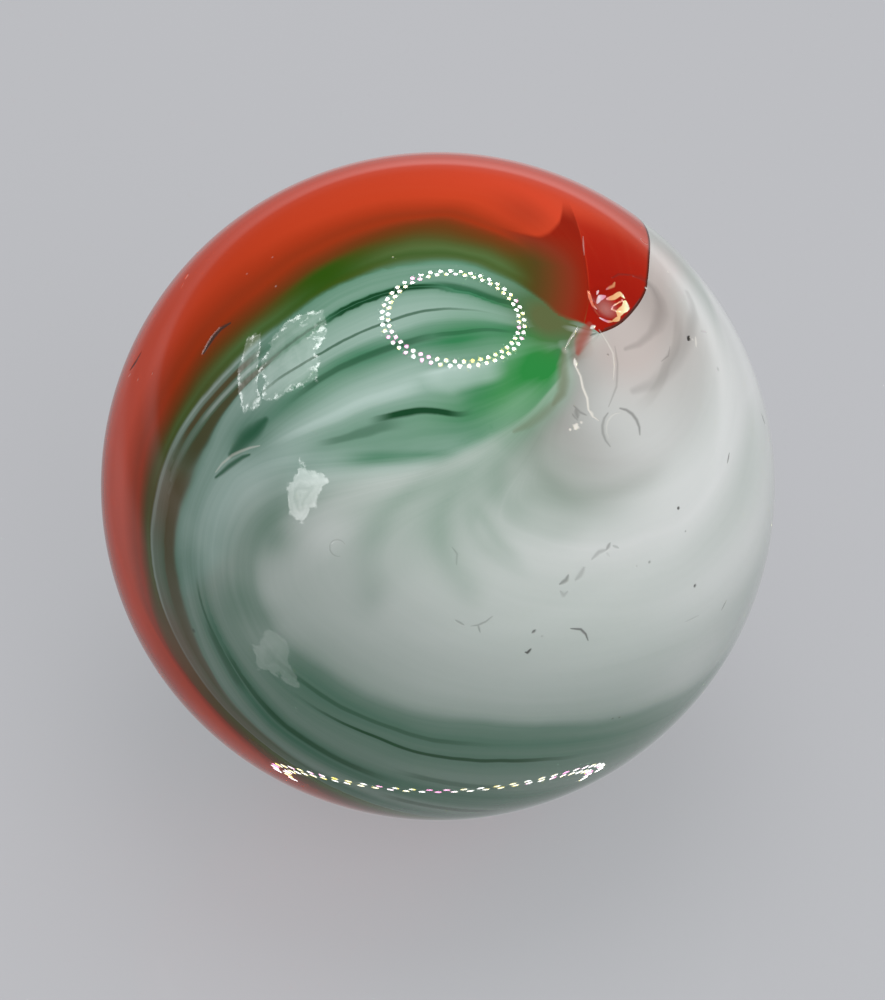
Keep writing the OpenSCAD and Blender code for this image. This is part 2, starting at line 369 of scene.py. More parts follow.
# The marks in its skin. Each has a tint and how strong that is, its width and its depth in
# millimetres, and its path. Plain glass has no tint. Vein is dark green glass, seam is brown
# glass where green meets white, soot is dark dirt, frost is crushed white glass, and ember is
# red glass over the white. The tint of the dimple's coloured rim is a painted highlight, the
# ring lamp's reflection. A few soot and frost marks are painted shade and painted highlights,
# as said where they stand.
MARKS = [
    # The glass about the cut-off mark, where the flow bunches, is only cut finer
    ("plain", 0, 5.4, 0, [(57.2, 57.4)]),
    # The dimple where the hot glass was cut off, with a painted highlight in colours round its rim:
    # the ring lamp's reflection
    ("plain", 0, 1.1, 0.2, [(69.5, 58.9)]),
    ("painted_glint", 1.0, 0.16, 0.02, [(68.9, 63), (66.5, 61.9), (65.1, 61.1), (65.8, 60.3)]),
    ("painted_glint", 1.0, 0.15, 0.02, [(68.8, 60.7), (71.4, 60.7), (73.3, 60)]),
    ("painted_glint", 1.0, 0.15, 0.02, [(73.1, 59.5), (74.7, 58.6), (76.8, 58), (76.1, 57.1)]),
    ("painted_glint", 1.2, 0.22, 0.02, [(75, 56.7), (73.2, 56.2), (71.3, 56.6), (69.5, 56.5)]),
    ("painted_glint", 1.0, 0.14, 0.02, [(69.2, 56.4), (67.2, 56.5), (65.5, 56.9)]),
    ("painted_glint", 0.8, 0.13, 0.01, [(65.3, 57), (63.3, 57.7), (62.1, 59)]),
    ("painted_glint", 0.7, 0.08, 0.01, [(71.2, 61.5), (72.9, 61.5)]),
    ("painted_glint", 0.4, 0.14, 0.01, [(75.3, 60.4), (78.2, 59.5), (80.3, 59.4)]),
    ("frost", 0.28, 0.75, 0, [(69.5, 58.9)]),
    # The crease down to it, its dark lower rim, and the red that was dragged out of its end
    # A painted highlight: the pale line along the crease's upper end
    ("frost", 0.35, 0.06, 0.012, [(98.9, 65.2), (92.8, 65.5), (86.8, 65.4)]),
    ("plain", 0, 0.1, 0.012, [(86.8, 65.4), (82.1, 65.1), (73.4, 63.6), (65.2, 62.2)]),
    ("soot", 0.5, 0.1, 0.015, [
        (60.1, 57.3), (63.9, 56.3), (69.1, 55.6), (74.4, 54.9), (79.9, 54.3),
    ]),
    ("soot", 0.35, 0.1, 0.012, [(88.3, 56.2), (85.1, 58.9), (81.6, 60)]),
    ("ember", 0.75, 0.5, 0, [(57.2, 59.6), (53.2, 59), (49.3, 58.3), (46, 57.2)]),
    ("ember", 0.35, 1.0, 0, [(52, 58.6), (45, 56.9)]),
    # A painted highlight on the red's rounded tip, and painted shade under it
    ("frost", 0.8, 0.13, 0.01, [(58.1, 58.8), (56.2, 59)]),
    ("soot", 0.5, 0.07, 0.01, [(56.4, 57.8), (54, 58.2)]),
    # Creases and cracks round it
    ("soot", 0.3, 0.34, 0.012, [
        (88.2, 56), (89.5, 53.4), (87.7, 51.8), (84.7, 50.5), (81.2, 49.8), (75.2, 50),
        (70.1, 50.5), (64.7, 51.3), (60, 52.6),
    ]),
    ("soot", 0.3, 0.62, 0.006, [
        (89.5, 54.4), (87.7, 51.9), (84.7, 50.6), (81.2, 49.9), (75.2, 50), (70.1, 50.5),
    ]),
    ("soot", 0.27, 0.62, 0.006, [
        (96, 43.6), (93.1, 43), (88.8, 42.7), (82.4, 43.3), (76, 44), (69.6, 44.4), (63.6, 44.9),
        (59, 45.4), (53, 46.9),
    ]),
    ("soot", 0.35, 0.07, 0.006, [(72.5, 46.4), (69.6, 45.9), (66.3, 46.5)]),
    ("frost", 0.8, 0.09, 0.012, [
        (44.1, 56.8), (42.7, 55.5), (42.3, 53.9), (41, 52.1), (40.5, 50.3), (39.2, 48.6),
        (39.5, 47.2), (40.2, 46.3),
    ]),
    ("frost", 1.0, 0.12, 0.012, [(43.9, 56.7), (42.7, 55.5)]),
    ("frost", 0.6, 0.13, 0.01, [(39.6, 48.2), (39.3, 47.2)]),
    ("frost", 0.45, 0.08, 0.012, [(52.9, 60.6), (46.6, 59.7), (43.2, 58.9)]),
    ("frost", 0.3, 0.24, 0.006, [(43.1, 58.7)]),
    ("frost", 0.5, 0.08, 0.01, [
        (58.2, 57.9), (56.9, 55.5), (55.7, 53.6), (53, 51.9), (50.1, 50.4),
    ]),
    ("soot", 0.34, 0.09, 0.006, [(58, 54.2), (54.6, 51.9), (49.8, 49.2), (44.5, 47.3)]),
    ("soot", 0.4, 0.09, 0.01, [(36.1, 50.2), (36.8, 48.8), (38, 47.9)]),
    ("soot", 0.35, 0.09, 0.01, [(34.6, 49.1), (35.3, 47.8)]),
    # A chip's glint, painted as a highlight in the frost marks, and painted shade in the soot just
    # above it
    ("frost", 1.0, 0.24, 0.02, [(33.8, 46.8), (34.6, 47.3)]),
    ("soot", 0.4, 0.2, 0.01, [(36.3, 49.6), (35.6, 48.2)]),
    ("frost", 1.0, 0.09, 0.02, [(32.5, 47)]),
    ("frost", 0.7, 0.1, 0.01, [(35.9, 47.3)]),
    ("frost", 0.7, 0.1, 0.01, [(85.8, 53.5)]),
    ("frost", 0.5, 0.1, 0.01, [(99.1, 47.8)]),
    ("frost", 0.5, 0.1, 0.01, [(80.6, 42.5)]),
    # The hook where the white lobe's fold comes to the skin between dark green veins
    ("vein", 0.55, 0.6, 0, [
        (-46.8, 37.6), (-46.1, 39.2), (-45.4, 41.1), (-44.1, 43.1), (-43.1, 45.4),
    ]),
    ("vein", 0.6, 0.2, 0, [
        (-47.8, 32.8), (-46.8, 34.3), (-45.9, 35.8), (-45, 37), (-43.9, 38.3), (-42.6, 39.3),
    ]),
    ("frost", 0.4, 0.11, 0, [
        (-48.3, 33.6), (-47.7, 35.5), (-46.4, 37.6), (-45, 38.9), (-43.2, 40.3), (-41.3, 41.4),
    ]),
    # The brown seam between the bright green and the white
    ("seam", 0.55, 0.4, 0, [(43, 59), (39.2, 56.7), (37.2, 54.7), (34.7, 52.9), (30.9, 51.7)]),
    ("seam", 0.4, 0.32, 0, [(34.7, 52.9), (30.9, 51.7), (26.7, 50.7), (22.7, 49.9), (18.8, 49.4)]),
    # Ring cracks, as round as the blows that made them
    ("soot", 0.5, 0.14, 0.006, ring_crack(44.4, 43, 0.5, -40, 60)),
    ("soot", 0.4, 0.12, 0.006, ring_crack(44.4, 43, 0.5, 100, 200)),
    ("frost", 0.35, 0.07, 0.004, ring_crack(44.4, 43, 0.4, 60, 180)),
    ("soot", 0.3, 0.06, 0.004, ring_crack(-18.7, 30.3, 0.19, 40, 300)),
    ("frost", 0.4, 0.05, 0.005, ring_crack(109, 50.8, 0.1, 0, 240)),
    # Pits
    ("soot", 1.0, 0.17, 0.03, [(80.7, 43.3), (79.2, 43.4)]),
    ("frost", 0.6, 0.1, 0.01, [(79.4, 41.5), (82.2, 42)]),
    ("soot", 0.3, 0.14, 0.008, [(80.2, 35.4)]),
    ("soot", 0.22, 0.1, 0.006, [(85.8, 40.8), (87, 39.3)]),
    ("soot", 0.5, 0.08, 0.012, [(54.1, 54)]),
    ("soot", 0.8, 0.1, 0.015, [(87.5, 19), (87.3, 16.4)]),
    ("soot", 0.6, 0.08, 0.012, [(67.6, 25.9), (65.7, 25.1)]),
    ("soot", 0.9, 0.11, 0.02, [(49, 26.4)]),
    ("soot", 0.5, 0.07, 0.01, [(48.8, 22.1)]),
    ("soot", 0.5, 0.1, 0.012, [(39.4, 21.1)]),
    ("soot", 0.25, 0.07, 0.006, [(36.6, 21.6)]),
    ("soot", 0.8, 0.12, 0.02, [(48.1, 11.8)]),
    ("soot", 0.5, 0.08, 0.012, [(54.6, 2.1), (56.2, 3.1)]),
    ("soot", 0.3, 0.05, 0.006, [(44.8, 6.3), (48.3, 5.5)]),
    ("soot", 0.65, 0.11, 0.015, [(15.8, 16.2), (16.4, 16.6)]),
    ("soot", 0.3, 0.08, 0.008, [(17.4, 15.2)]),
    ("soot", 0.8, 0.1, 0.015, [(14.4, 12.9), (14.8, 12.7), (15.4, 13.3)]),
    ("soot", 0.5, 0.08, 0.012, [(30.1, -7.3)]),
    ("soot", 0.5, 0.08, 0.012, [(31.5, -7.8)]),
    ("soot", 0.5, 0.16, 0.008, [(-44.2, 5)]),
    # Bruises and hair scratches
    ("soot", 0.35, 0.16, 0.01, [(28.4, 25.9), (30, 26.6), (31.6, 26.5)]),
    ("soot", 0.45, 0.14, 0.01, [(31.6, 26.5), (32.6, 27.3)]),
    ("soot", 0.35, 0.1, 0.008, [(33, 26.7), (34, 25.9)]),
    ("soot", 0.2, 0.1, 0.006, [(31.4, 26), (31.8, 25.2)]),
    ("soot", 0.5, 0.16, 0.012, [(21.6, 23.5), (22.9, 23.9), (23.4, 24.6)]),
    ("soot", 0.35, 0.2, 0.01, [(24.6, 23.4), (25.6, 24), (26.6, 25)]),
    ("soot", 0.3, 0.14, 0.008, [(21.5, 22.3), (22, 21.4), (22.8, 21.9)]),
    ("soot", 0.65, 0.09, 0.01, [(22.5, 15.3), (24.3, 14.6), (25.1, 13.4), (25.4, 12.1)]),
    ("soot", 0.35, 0.09, 0.008, [(2.9, 20), (4.3, 19.1)]),
    ("soot", 0.4, 0.07, 0.008, [(5.5, 18.8), (6.7, 18.9), (8.1, 19.4), (9.2, 20.2)]),
    ("soot", 0.4, 0.07, 0.008, [(6.7, 18.9), (7, 17.6)]),
    ("soot", 0.3, 0.07, 0.006, [(2.6, 32.2), (3.5, 31.1), (3.3, 29.3)]),
    # Chips and slits in the red
    ("frost", 0.45, 0.16, 0.03, [(-105.5, 41), (-104, 41)]),
    ("frost", 0.25, 0.08, 0.01, [(-102.5, 40.9), (-100.8, 40.8)]),
    ("soot", 0.9, 0.16, 0.02, [(-91.5, 30.6), (-91, 28.6), (-91.2, 26.3)]),
    ("frost", 0.4, 0.09, 0.01, [(-89.6, 26.8), (-90, 25.7)]),
    ("soot", 0.8, 0.2, 0.014, [(-72.9, 52.1), (-73.6, 50.2), (-73.1, 48.3), (-71.3, 45.4)]),
    ("frost", 0.3, 0.08, 0.01, [(-87.8, 57.1)]),
    ("frost", 0.3, 0.08, 0.01, [(-90.1, 62)]),
    ("frost", 0.35, 0.1, 0.012, [(-80.9, 33.9)]),
    ("frost", 0.35, 0.1, 0.012, [(-84.6, 29.5)]),
    ("frost", 0.3, 0.08, 0.01, [(-74.4, 61.7)]),
    ("frost", 0.4, 0.07, 0.008, [(-45.1, 79.8)]),
    # The lower cut-off mark, straight across the ball from the upper one
    ("plain", 0, 1.1, 0.1, [(-110.5, -59)]),
    ("soot", 0.3, 0.1, 0.012, [(-104, -60), (-116, -58), (-122.8, -57.4), (-131, -54)]),
    ("frost", 0.4, 0.08, 0.008, [(-128, -62), (-134, -66), (-146, -69)]),
]
# How far round each mark the skin is cut finer, in millimetres, one pass after the other, and
# the widest mark that the pass is for.
PASSES = [(0.34, 9.0), (0.14, 2.0), (0.05, 0.17)]
# How much a mark narrows at its ends, and how hollow its sides are
END_TAPER = 0.6
HOLLOW = 1.5
# What they leave in the glass
TINTS = ("vein", "seam", "soot", "frost", "painted_glint", "ember")


def across(places, path, width):
    """How far places are from a mark's middle line, with 1 at its edge, and in millimetres."""
    ends = np.array([place(*point) for point in path + path[-1:]])
    radius = BALL_R / MM
    away = np.full(len(places), np.inf)
    share = np.zeros(len(places))
    lengths = np.linalg.norm(np.diff(ends, axis=0), axis=1)
    whole = max(lengths.sum(), 1e-9)
    for i, (start, end) in enumerate(zip(ends[:-1], ends[1:])):
        along = end - start
        t = np.clip((places - start) @ along / max(along @ along, 1e-12), 0, 1)
        gap = np.linalg.norm(places - start - t[:, None] * along, axis=1) * radius
        nearer = gap < away
        away[nearer] = gap[nearer]
        share[nearer] = ((lengths[:i].sum() + t * lengths[i]) / whole)[nearer]
    taper = 1 - END_TAPER * (2 * share - 1) ** 2 if len(path) > 1 else 1
    return away / (width / 2 * taper), away


def near_mark(places, path, margin):
    """Which places lie within a mark's reach and a margin in millimetres."""
    middle = place(*path[len(path) // 2])
    reach = margin + max(np.linalg.norm(place(*p) - middle) for p in path) * BALL_R / MM
    return np.flatnonzero(np.linalg.norm(places - middle, axis=1) * BALL_R / MM < reach)


def pressed(places):
    """How deep each place lies under the ball's round skin, in metres, and its tints."""
    depth = np.zeros(len(places))
    tints = {tint: np.zeros(len(places)) for tint in TINTS}
    for tint, amount, width, deep, path in MARKS:
        near = near_mark(places, path, width)
        bowl = np.clip(1 - across(places[near], path, width)[0] ** 2, 0, 1)
        depth[near] = np.maximum(depth[near], deep * MM * bowl ** HOLLOW)
        if tint in tints:
            tints[tint][near] = np.maximum(tints[tint][near], amount * bowl)
    return depth, tints


for pad, widest in PASSES:
    middles = np.array([(e.verts[0].co + e.verts[1].co).normalized() for e in bm.edges])
    near = np.zeros(len(middles), bool)
    for tint, amount, width, deep, path in MARKS:
        if width <= widest:
            half = width / 2 + pad
            close = near_mark(middles, path, half)
            near[close] |= across(middles[close], path, width)[1] < half
    cut = [edge for edge, is_near in zip(bm.edges[:], near) if is_near]
    bmesh.ops.subdivide_edges(bm, edges=cut, cuts=1, use_grid_fill=True)
    for vert in bm.verts:
        vert.co.normalize()

marble = made("marble_glass", bm)
mesh = marble.data
out = np.empty(len(mesh.vertices) * 3)
mesh.vertices.foreach_get("co", out)
out = out.reshape(-1, 3)


def unit(ways):
    """The same directions, each with a length of 1."""
    return ways / np.linalg.norm(ways, axis=1, keepdims=True)


def skin(places):
    """Points of the ball's skin, with its marks pressed in."""
    return places * HALF - places * pressed(places)[0][:, None]


# The skin's slope is read this far to either side of each point, as a share of the radius
STEP = 0.0008
side_way = unit(np.cross(out, np.where(np.abs(out[:, 2:]) < 0.9, [[0, 0, 1]], [[1, 0, 0]])))
other_way = np.cross(out, side_way)
lean = []
for way in (side_way, other_way):
    lean.append(skin(unit(out + way * STEP)) - skin(unit(out - way * STEP)))
normals = unit(np.cross(lean[0], lean[1]))
mesh.vertices.foreach_set("co", skin(out).ravel())
mesh.shade_smooth()
mesh.normals_split_custom_set_from_vertices(normals.tolist())
for tint, values in pressed(out)[1].items():
    layer = mesh.attributes.new(tint, "FLOAT", "POINT")
    layer.data.foreach_set("value", values.astype(np.float32))
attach(marble, "root")
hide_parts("marble")

# Swirl
# The glasses were folded together in the gather and drawn into one flow, which opens at the
# upper cut-off mark, runs round the ball and laps itself.

# A place is known by its reach, the angle from the mark, and its turn, the bearing about the
# mark, which grows past 360 where the flow laps itself.
MARK_BEARING = 57.2
MARK_HEIGHT = 57.4
# The label of a line of flow is in degrees: 0 is the red ribbon's inner edge, the ribbon is
# below it, and the streaks and the white lobe are above it. These lines run outwards: the turn
# of each at a reach.
OUTWARD = {
    -60: [
        (0, 30), (2.5, 33), (9, 43), (16.5, 50.8), (20.5, 55.2), (26, 58.7), (34, 61.2), (44, 64),
        (60, 80), (75, 100), (90, 125), (105, 155), (120, 190), (137, 230),
    ],
    0: [
        (0, 97), (8, 103), (11.2, 116), (16, 128.5), (22, 133), (27, 137), (32.5, 140.5),
        (36.8, 147), (41, 153), (45.4, 158.8), (51.7, 166.2), (59, 173.2), (67.7, 179.5),
        (74.7, 185.7), (83.8, 193), (88.9, 198.3), (92.9, 204), (97.5, 210.4), (100.8, 215.5),
        (103.5, 223), (104.6, 233), (106, 243), (109, 260), (114, 280), (118, 300), (123, 330),
        (128, 360), (140, 420),
    ],
    6: [
        (0, 150), (3, 160), (6.6, 169.5), (10.8, 158.2), (16.7, 153.5), (22, 154.3), (27, 157),
        (30, 159.3), (35, 163.3), (40, 167), (45, 171), (50, 175.5), (55, 179.3), (60, 182.5),
        (65, 185.5), (70, 188), (75, 190.7), (80, 194.3), (85, 198.5), (90, 203.5), (95, 210.7),
        (99, 222), (101.5, 236), (103, 260), (109, 300), (115, 330), (121, 360), (134, 420),
    ],
    14: [
        (0, 176), (8, 175), (12, 172), (18, 170.5), (22, 168.5), (27, 168), (31, 169),
        (36.5, 172.5), (43, 177), (46.5, 180), (51, 183), (56.5, 186.5), (61.5, 189), (66.5, 191.5),
        (70, 193), (75, 195.8), (80, 199.3), (85, 204), (90, 210), (95, 219.5), (98.5, 233),
        (100, 245), (125, 500),
    ],
    17: [
        (0, 178), (8, 177), (12, 174), (18, 172), (22, 170), (27, 169.4), (31, 170.4), (36.5, 174),
        (43, 178.3), (46.5, 181), (51, 184), (56.5, 187.4), (61.5, 190.6), (66.5, 194.6), (70, 198),
        (75, 201.5), (80, 205.3), (85, 210.9), (90, 219), (95, 228), (98, 240), (125, 560),
    ],
    22: [
        (0, 186), (12, 182), (22, 177.6), (27, 178.3), (31, 179.8), (36.5, 182.5), (43, 186),
        (48, 188.2), (56, 191), (61, 194), (66, 197.6), (70, 200.5), (75, 203.7), (80, 208),
        (85, 214), (90, 223), (96, 240), (125, 580),
    ],
    28: [
        (0, 200), (12, 192), (20, 188), (30, 189), (38, 190.5), (45, 192.7), (50, 194.5),
        (57, 197.7), (62, 200), (66, 201.5), (70, 202.9), (75, 205.8), (80, 210.3), (85, 217),
        (90, 229), (94, 240), (125, 600),
    ],
    36: [
        (0, 212), (12, 208), (20, 207), (25, 204.5), (35, 202.3), (45, 201.7), (55, 201.8),
        (62, 202.3), (66, 202.9), (70, 204.4), (75, 207.6), (80, 212.6), (85, 219.6), (89, 230),
        (92, 243), (125, 640),
    ],
    40: [
        (0, 212), (8, 216), (12, 224), (20, 222.5), (27.5, 219), (30, 215), (32, 212.2), (37, 209),
        (41, 207.3), (46, 206.2), (55, 204.6), (62, 203.6), (66, 203.7), (70, 205.3), (75, 208.8),
        (80, 214.3), (85, 222.5), (89, 240), (125, 660),
    ],
    44: [
        (0, 216), (8, 222), (12, 234), (18, 234.5), (23, 232), (30, 227), (38, 221), (45, 215),
        (55, 208), (60, 205.6), (66, 204.8), (70, 206.4), (75, 210.2), (80, 216.3), (84, 224),
        (87, 240), (125, 680),
    ],
    74: [
        (0, 226), (8, 232), (12, 239), (20, 239), (27, 238), (38, 233), (50, 227), (60, 225),
        (70, 228), (80, 240), (125, 700),
    ],
    107: [(0, 240), (12, 246), (20, 248), (27, 250), (38, 250), (60, 252), (80, 258), (125, 720)],
    135: [(0, 275), (27, 264), (60, 264), (80, 270), (125, 740)],
}
# These lines run round the mark: the reach of each at a turn.
AROUND = {
    0: [
        (225, 103), (233, 104.6), (243, 106), (260, 109), (280, 114), (300, 118), (330, 123),
        (360, 128), (420, 140), (560, 160),
    ],
    6: [
        (225, 99.8), (236, 101.5), (250, 102.6), (270, 104.5), (300, 109), (330, 115), (360, 121),
        (420, 134), (560, 156),
    ],
    14: [
        (225, 96.8), (233, 98.5), (245, 100), (255, 100.6), (270, 101.5), (300, 105.5), (330, 111),
        (360, 117), (420, 131), (560, 153),
    ],
    17: [
        (225, 93.6), (230, 95.8), (240, 98), (250, 98.7), (270, 98.6), (300, 102), (330, 108),
        (360, 114.5), (420, 129), (560, 151),
    ],
    28: [
        (225, 90.9), (230, 92.3), (240, 94), (250, 94.2), (270, 93.5), (300, 95), (330, 101),
        (360, 109), (420, 125), (560, 148),
    ],
    36: [
        (225, 88.6), (230, 90.3), (240, 91.7), (250, 91.7), (260, 91.3), (270, 90.5), (300, 91),
        (330, 97), (360, 105), (420, 122), (560, 146),
    ],
    44: [
        (225, 85), (235, 86.9), (250, 87), (270, 85.8), (290, 84.6), (300, 85), (330, 90),
        (360, 99), (420, 118), (560, 143),
    ],
    51: [
        (225, 83.3), (241, 83), (250, 81.8), (255, 81.1), (260, 80.4), (265, 79.5), (270, 78.3),
        (275, 77.3), (280, 76.7), (290, 76.1), (300, 77), (330, 83), (360, 93), (420, 113),
        (560, 140),
    ],
    58: [
        (225, 77.2), (240, 76.3), (250, 75.2), (260, 73.1), (270, 70.4), (280, 69.2), (290, 69.2),
        (300, 69.2), (310, 70), (330, 74), (360, 84), (420, 106), (560, 136),
    ],
    74: [
        (225, 60), (240, 60), (270, 58), (300, 55), (330, 58), (360, 64), (390, 74), (420, 86),
        (560, 125),
    ],
    90: [
        (225, 45), (240, 44), (260, 43), (280, 42), (300, 42), (330, 40), (345, 39), (360, 40),
        (390, 47), (420, 60), (560, 110),
    ],
    107: [
        (225, 27), (240, 27), (250, 27.5), (265, 28), (280, 27), (300, 24), (330, 23), (360, 24.5),
        (385, 30), (410, 41), (420, 47), (560, 90),
    ],
    116: [
        (225, 17), (300, 15), (330, 14), (350, 14), (375, 17.5), (395, 23), (412, 34), (425, 44),
        (560, 70),
    ],
    126: [(225, 7), (350, 7), (380, 9), (400, 14), (410, 20), (420, 30), (560, 50)],
}
# Past this reach the flow winds up towards the lower cut-off mark, by so many degrees and
# ever faster.
REACH_END = 125
TWIST = 150
TWIST_CURVE = 1.5
# How fast the label grows past the last line, and the least gap between two lines
BEYOND_SLOPE = 0.6
LEAST_GAP = 0.02
# The two kinds of lines are joined softly inside the lobe: from this label, over so many
# labels, and how wide the join is then
JOIN_FROM = 40
JOIN_OVER = 15
JOIN_WIDE = 12


def smooth_curve(at, points):
    """A curve through (x, y) points that never swings past them."""
    x, y = np.array(points, float).T
    step = np.diff(x)
    rise = np.diff(y) / step
    slope = np.zeros(len(x))
    slope[0], slope[-1] = rise[0], rise[-1]
    for i in range(1, len(x) - 1):
        if rise[i - 1] * rise[i] > 0:
            before = step[i - 1] + 2 * step[i]
            after = 2 * step[i - 1] + step[i]
            slope[i] = (before + after) / (before / rise[i - 1] + after / rise[i])
    at = np.clip(at, x[0], x[-1])
    i = np.clip(np.searchsorted(x, at) - 1, 0, len(step) - 1)
    t = (at - x[i]) / step[i]
    start = y[i] * (1 + 2 * t) * (1 - t) ** 2 + slope[i] * step[i] * t * (1 - t) ** 2
    return start + y[i + 1] * t * t * (3 - 2 * t) + slope[i + 1] * step[i] * t * t * (t - 1)


def label_between(lines, at, other, rising):
    """The label of places, read off between the lines that lie on either side of them."""
    labels = sorted(lines)
    curves = [smooth_curve(at, lines[name]) for name in labels]
    label = np.full(at.shape, float(labels[0]))
    for low, high, name, following in zip(curves, curves[1:], labels, labels[1:]):
        gap = np.where(np.abs(high - low) < LEAST_GAP, LEAST_GAP * rising, high - low)
        label += (following - name) * np.clip((other - low) / gap, 0, 1)
    label += np.minimum(0, (other - curves[0]) * rising) * BEYOND_SLOPE
    label += np.maximum(0, (other - curves[-1]) * rising) * BEYOND_SLOPE
    return label


def wound(reach):
    """How far the flow has wound up at a reach, in degrees."""
    return TWIST * np.clip((reach - REACH_END) / (180 - REACH_END), 0, 1) ** TWIST_CURVE


def flow_label(turn, reach):
    """The label of the line of flow through each place."""
    turn = turn - wound(reach)
    reach = np.minimum(reach, REACH_END)
    outward = label_between(OUTWARD, reach, turn, 1)
    around = label_between(AROUND, turn, reach, -1)
    inside = np.clip((np.minimum(outward, around) - JOIN_FROM) / JOIN_OVER, 0, 1)
    soft = JOIN_WIDE * inside * inside * (3 - 2 * inside) + 1e-6
    share = np.clip(0.5 + 0.5 * (around - outward) / soft, 0, 1)
    return around + (outward - around) * share - soft * share * (1 - share)


mark = place(MARK_BEARING, MARK_HEIGHT)
right = np.array([1, 0, 0]) - mark[0] * mark
right /= np.linalg.norm(right)
above = np.cross(mark, right)

corner_count = len(mesh.loops)
corner_vertex = np.empty(corner_count, int)
mesh.loops.foreach_get("vertex_index", corner_vertex)
face_start = np.empty(len(mesh.polygons), int)
mesh.polygons.foreach_get("loop_start", face_start)
face_size = np.diff(np.append(face_start, corner_count))
corner_out = out[corner_vertex]
face_out = np.add.reduceat(corner_out, face_start)
face_out = np.repeat(unit(face_out), face_size, axis=0)


def turn_and_reach(places):
    """The turn and the reach, in degrees, of directions from the ball's centre."""
    turn = np.degrees(np.arctan2(places @ above, places @ right))
    return turn, np.degrees(np.arccos(np.clip(places @ mark, -1, 1)))


def within_half(angle):
    """Angles brought within half a turn of 0."""
    return (angle + 180) % 360 - 180


def edge_turn(reach):
    """The turn of the lap's edge at a reach."""
    return smooth_curve(np.minimum(reach, REACH_END), OUTWARD[-60]) + wound(reach)


# A face's corners are read as one turn of the flow, so that the lap's edge and the turn's own
# jump never fall inside a face. The ribbon lies on one side of the lap's edge, the lobe on the
# other. The lobe's turn is a lap on, and jumps back so far past the edge, under the ribbon.
LOBE_JUMP = 90
face_turn, face_reach = turn_and_reach(face_out)
corner_turn, corner_reach = turn_and_reach(corner_out)
lap_edge = edge_turn(corner_reach)
face_edge = edge_turn(face_reach)
face_past = within_half(face_turn - face_edge)
corner_past = face_past + within_half(corner_turn - face_turn) - (lap_edge - face_edge)
ribbon_turn = lap_edge + corner_past
lobe_turn = ribbon_turn + 360 * (face_past < LOBE_JUMP)
# How far past the lap's edge each corner is on the skin, as far as that matters
EDGE_NEAR = 30
near_edge = corner_past * np.sin(np.radians(corner_reach))
near_edge = np.clip(near_edge, -EDGE_NEAR, EDGE_NEAR)

# Soft clouds in the glass: the turn and the reach of each, how far it spreads across and
# along, in degrees, and how strong it is.
CLOUDS = {
    # More or less milk than the line of flow has elsewhere
    "milk": [
        (205, 12, 8, 7, -0.1), (184, 9, 1.5, 3, -0.15), (208, 12, 1.6, 5, -0.18),
        (224, 7, 2, 2, -0.3), (192, 12, 1.6, 4, 0.12), (214, 15, 3, 5, -0.16),
        (210, 24, 3, 4, -0.14), (168, 12, 4, 6, -0.1), (180, 9, 3, 5, -0.22), (222, 57, 4, 5, 0.15),
        (218, 65.5, 2.6, 3.6, -0.16), (209, 69, 3.5, 5, 0.07), (216, 60.5, 3, 2.5, 0.08),
        (190, 40, 1.6, 6, -0.08), (189, 18.5, 2.5, 4, 0.08), (206, 55, 2, 5, 0.08),
        (208, 64, 4, 4, 0.09), (212, 52, 2.5, 6, 0.07), (226, 25.5, 2.5, 4, 0.07),
        (196, 26, 2.5, 4, -0.08), (310, 45, 14, 5, 0.05), (200, 5, 2, 2.5, -0.3),
        (290, 24, 12, 4, -0.06), (237, 53, 3, 6, -0.05), (229, 51, 3, 4, -0.07),
        (250, 38, 3.5, 5, -0.1), (205.5, 28.5, 2, 3, -0.14), (231, 77, 3, 5, 0.07),
        (224, 73, 3, 6, 0.05), (208, 20, 3, 4, -0.12), (183, 20, 6, 8, -0.11),
        (186, 4, 2.5, 2.5, 0.25), (229, 20, 1.8, 9, 0.2), (233, 33, 4, 3.5, 0.12),
        (42, 15, 6, 6, -0.15), (238, 23, 3.5, 8, -0.2), (250, 28, 14, 8, -0.42),
        (275, 29, 12, 4, -0.12), (243, 13, 5, 8, -0.25), (238, 38, 5, 8, -0.1),
        (238, 44, 8, 7, -0.14), (214, 63, 5, 5, -0.05), (199, 61, 3.5, 4.5, -0.22),
        (196.5, 54, 3, 5, -0.13), (262, 19, 6, 4, -0.07), (217, 74, 6, 8, 0.13),
        (228, 80, 5, 4, 0.16), (211, 84, 3, 6, -0.06), (305, 18, 9, 8, 0.12), (335, 50, 24, 7, 0.2),
        (312, 66, 12, 9, 0.2), (22, 41, 11, 8, 0.32),
    ],
    # The green edge of the ribbon
    "moss": [(166, 47, 8, 9, 1.0)],
    # The clear bright green
    "leaf": [
        (213, 13, 5.5, 5.5, 1.1), (190, 22, 5, 7, 0.35), (214, 30, 4, 8, 0.3),
        (225, 20, 5, 7, 0.95),
    ],
    # Glass that the red has tinged with brown
    "tan": [
        (188, 66, 6, 7, 0.5), (200, 82, 10, 11, 1.0), (218, 98, 12, 8, 1.0), (238, 101, 12, 5, 0.7),
        (228, 103, 4, 2.5, 0.5),
    ],
    # Rust where the tip of the red runs out into the green
    "rust": [(176, 9.5, 4.5, 4, 1.1), (182, 4, 3, 3, 0.7), (160, 15, 4, 5, 0.35)],
    # Deeper red, thick under the fold and again low on the ball
    "deep_red": [(113, 26, 5, 6, 0.55), (222, 113, 9, 14, 0.4)],
    # A warm tinge in the white
    "warm": [(350, 5, 12, 8, 1.0), (40, 14, 9, 8, 0.7), (54, 27, 5, 12, 0.9), (20, 20, 10, 8, 0.3)],
    # Smoky glass under the white below the mark
    "smoke": [(275, 16, 20, 15, 1.0), (10, 16, 26, 14, 1.0)],
}


